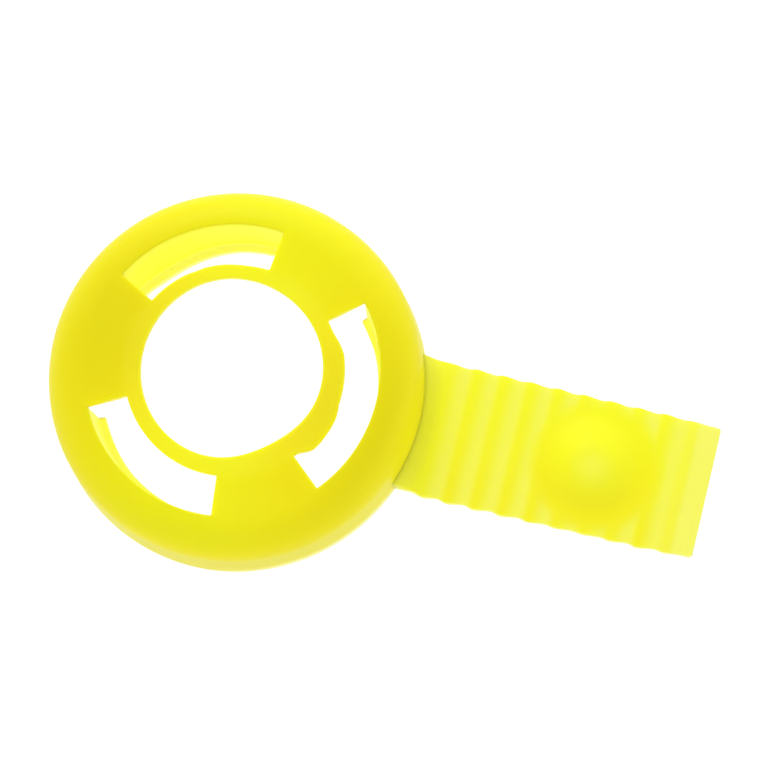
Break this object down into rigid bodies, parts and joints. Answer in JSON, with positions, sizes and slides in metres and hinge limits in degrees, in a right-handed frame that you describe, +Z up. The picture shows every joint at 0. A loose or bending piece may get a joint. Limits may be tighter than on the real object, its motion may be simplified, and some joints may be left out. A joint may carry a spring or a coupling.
{
  "type": "clip-on retaining ring with pull tongue",
  "caption": "Shallow slotted ring cap with snap hooks inside its skirt and a ribbed pull tongue carrying a thumb dome.",
  "frame": {"origin": "middle of the bounding box on the level of the rim and the tongue's underside; the ring's own axis stands at X = -13.7 mm", "axes": "+X along the pull tongue from the ring to its tip, +Z up through the ring's central hole towards its slotted face"},
  "size_m": [0.063, 0.0356, 0.0084],
  "materials": {
    "yellow_polyethylene": "translucent satin moulding"
  },
  "bodies": {
    "root": {"ring_shell": "yellow_polyethylene", "tongue_root": "yellow_polyethylene"},
    "tongue": {"flex_web": "yellow_polyethylene", "pull_tongue": "yellow_polyethylene", "thumb_dome": "yellow_polyethylene"},
    "hook_front": {"snap_hook_front": "yellow_polyethylene"},
    "hook_left": {"snap_hook_left": "yellow_polyethylene"},
    "hook_right": {"snap_hook_right": "yellow_polyethylene"}
  },
  "joints": [
    {"name": "tongue_bend", "type": "hinge", "parent": "root", "child": "tongue", "pos_m": [0.00701, 0, 0.0008], "axis": [0, -1, 0], "range_deg": [-45, 90], "stiffness_Nm_per_rad": 0.02},
    {"name": "hook_front_flex", "type": "hinge", "parent": "root", "child": "hook_front", "pos_m": [0.0006, 0, 0.00675], "axis": [0, -1, 0], "range_deg": [-2, 7], "stiffness_Nm_per_rad": 0.1},
    {"name": "hook_left_flex", "type": "hinge", "parent": "root", "child": "hook_left", "pos_m": [-0.02041, 0.01263, 0.00675], "axis": [0.8829, 0.4695, 0], "range_deg": [-2, 7], "stiffness_Nm_per_rad": 0.1},
    {"name": "hook_right_flex", "type": "hinge", "parent": "root", "child": "hook_right", "pos_m": [-0.02041, -0.01263, 0.00675], "axis": [-0.8829, 0.4695, 0], "range_deg": [-2, 7], "stiffness_Nm_per_rad": 0.1}
  ]
}
